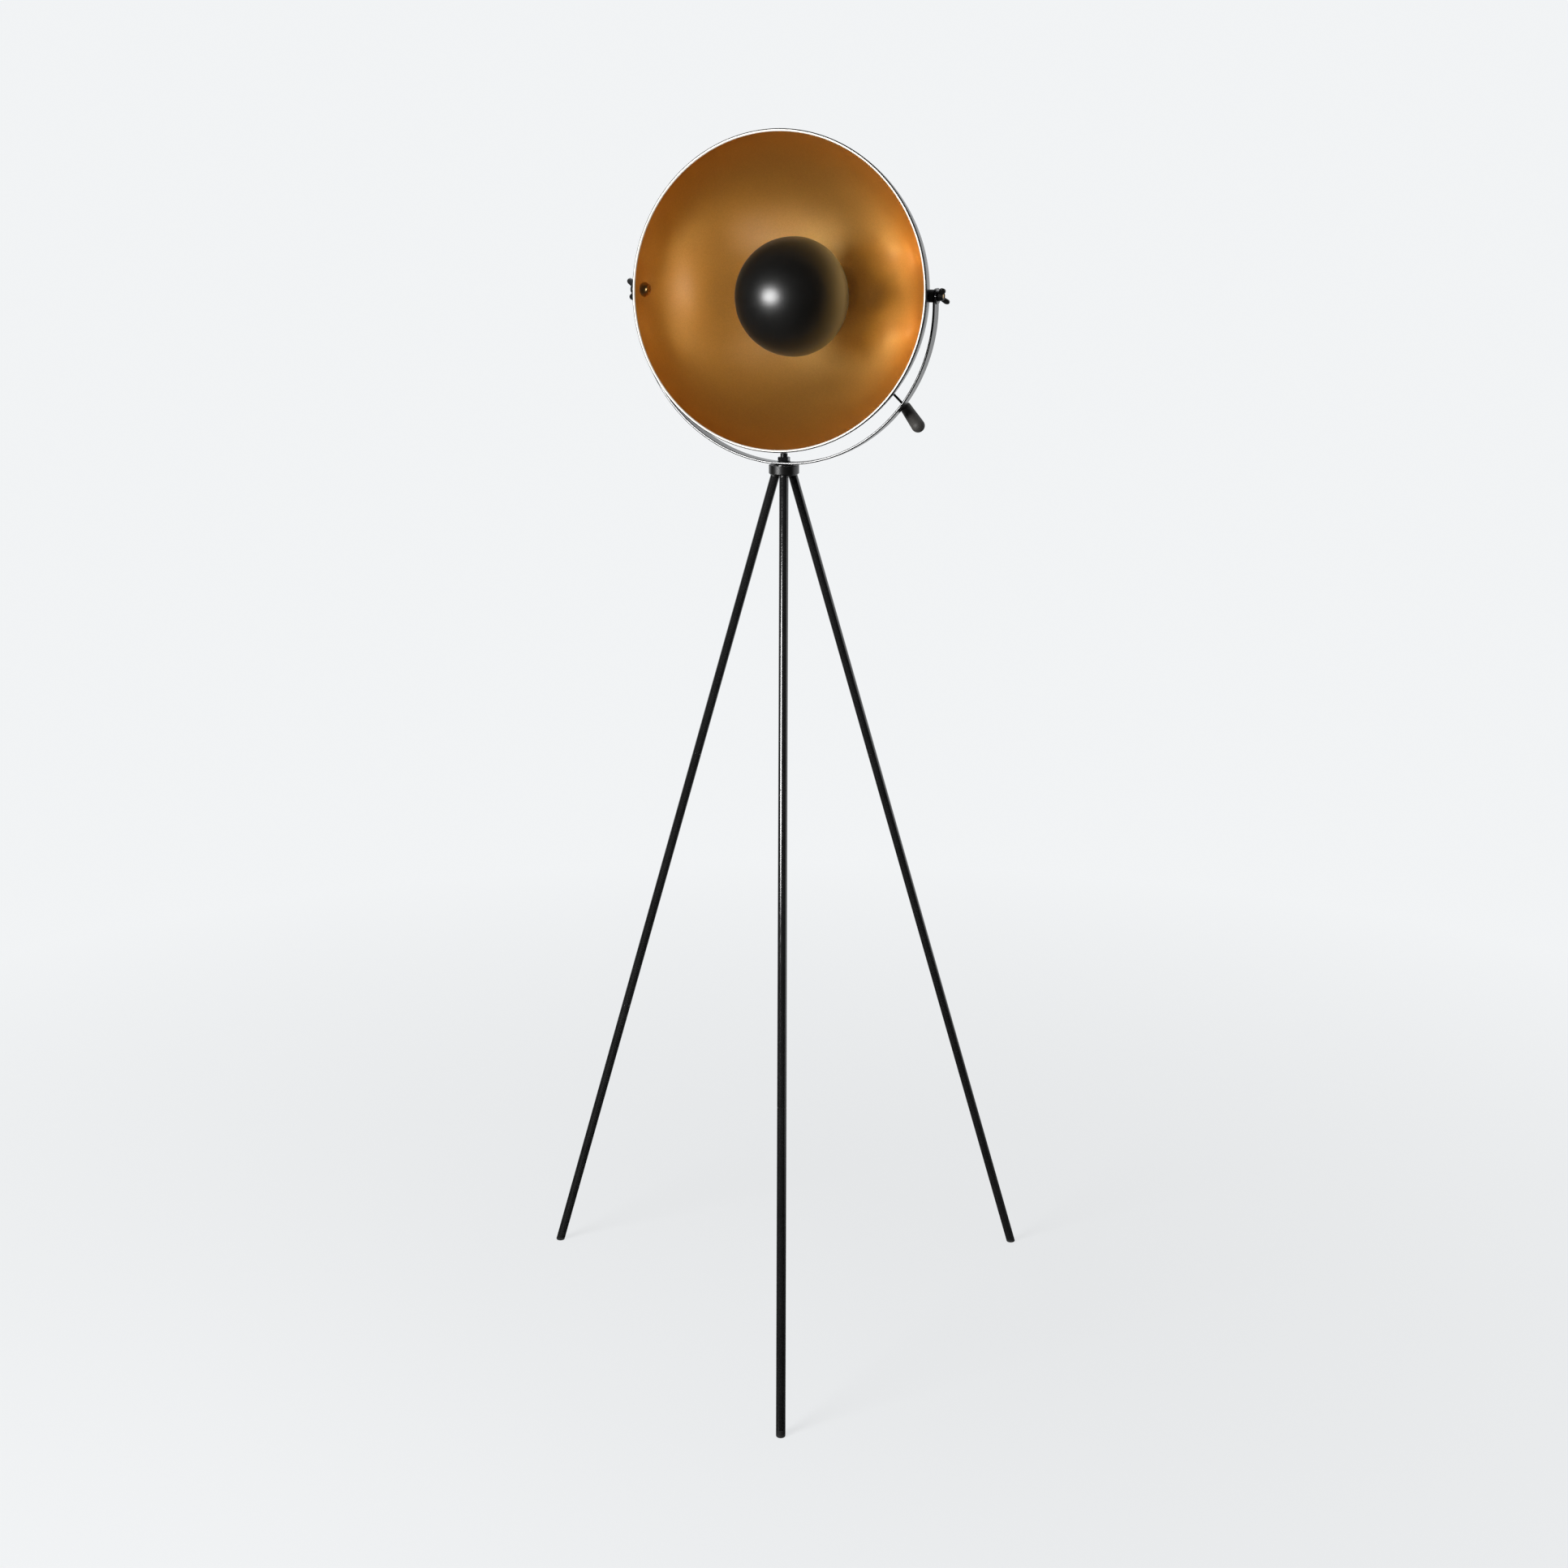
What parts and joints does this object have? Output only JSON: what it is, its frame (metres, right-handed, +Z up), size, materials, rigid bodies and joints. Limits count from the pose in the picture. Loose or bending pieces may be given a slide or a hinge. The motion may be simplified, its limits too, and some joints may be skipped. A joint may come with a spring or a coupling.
{
  "type": "tripod floor lamp",
  "caption": "Tripod floor lamp with a large bowl shade that tips in a U-shaped bracket, swivels on the tripod's hub and throws its light back off a small round cap.",
  "frame": {"origin": "on the floor, under the axis on which the shade swivels", "axes": "+Z up along the swivel axis; at rest the shade faces -Y, so +X is on the right of someone who looks into the shade"},
  "size_m": [0.6337, 0.6748, 1.5969],
  "materials": {
    "tripod_paint": "semi-gloss black",
    "bracket_paint": "gloss black",
    "black_hardware": "blackened, semi-gloss",
    "shade_paint": "gloss black outside, satin gold inside",
    "cap_paint": "satin black",
    "stud_steel": "turned",
    "brass": "satin",
    "foot_rubber": "matt",
    "grip_plastic": "matt dark grey",
    "spacer_plastic": "matt black",
    "holder_plastic": "satin black",
    "insulator": "matt off-white",
    "bulb_cap_metal": "bright",
    "bulb_glass": "frosted"
  },
  "bodies": {
    "tripod": {"foot_front": "foot_rubber", "foot_left": "foot_rubber", "foot_right": "foot_rubber", "hub": "tripod_paint", "hub_studs": "stud_steel", "leg_front_lower": "tripod_paint", "leg_front_middle": "tripod_paint", "leg_front_upper": "tripod_paint", "leg_joiner_studs": "stud_steel", "leg_left_lower": "tripod_paint", "leg_left_middle": "tripod_paint", "leg_left_upper": "tripod_paint", "leg_right_lower": "tripod_paint", "leg_right_middle": "tripod_paint", "leg_right_upper": "tripod_paint", "leg_socket_inserts": "stud_steel", "swivel_lower_washer": "black_hardware", "swivel_nut": "black_hardware", "swivel_stud": "black_hardware", "swivel_upper_washer": "black_hardware"},
    "bracket": {"bracket": "bracket_paint", "pivot_washer_left": "bracket_paint", "pivot_washer_right": "bracket_paint"},
    "head": {"back_nut": "black_hardware", "back_washer": "black_hardware", "bulb_contact": "brass", "bulb_glass": "bulb_glass", "bulb_screw_cap": "bulb_cap_metal", "cap_frame": "cap_paint", "cap_rivets": "cap_paint", "cord_gland": "holder_plastic", "handle_grip": "grip_plastic", "handle_rod": "cap_paint", "holder_body": "holder_plastic", "holder_contact": "brass", "holder_cover": "holder_plastic", "holder_insulator": "insulator", "holder_nipple": "brass", "holder_ring": "holder_plastic", "holder_screw_shell": "brass", "pivot_bolt_left": "brass", "pivot_bolt_right": "brass", "pivot_saddle_left": "shade_paint", "pivot_saddle_right": "shade_paint", "pivot_spacer_left": "spacer_plastic", "pivot_spacer_right": "spacer_plastic", "reflector_cap": "cap_paint", "shade_shell": "shade_paint"},
    "wing_nut_right": {"wing_nut_right": "bracket_paint"},
    "wing_nut_left": {"wing_nut_left": "bracket_paint"}
  },
  "joints": [
    {"name": "bracket_pan", "type": "hinge", "parent": "tripod", "child": "bracket", "pos_m": [0, 0, 1.177], "axis": [0, 0, 1], "range_deg": [-170, 170]},
    {"name": "shade_tilt", "type": "hinge", "parent": "bracket", "child": "head", "pos_m": [0, 0, 1.39479], "axis": [-1, 0, 0], "range_deg": [-120, 6]},
    {"name": "wing_nut_right_turn", "type": "hinge", "parent": "head", "child": "wing_nut_right", "pos_m": [0.208, 0, 1.39479], "axis": [1, 0, 0], "range_deg": [0, 360]},
    {"name": "wing_nut_left_turn", "type": "hinge", "parent": "head", "child": "wing_nut_left", "pos_m": [-0.208, 0, 1.39479], "axis": [-1, 0, 0], "range_deg": [0, 360]}
  ]
}
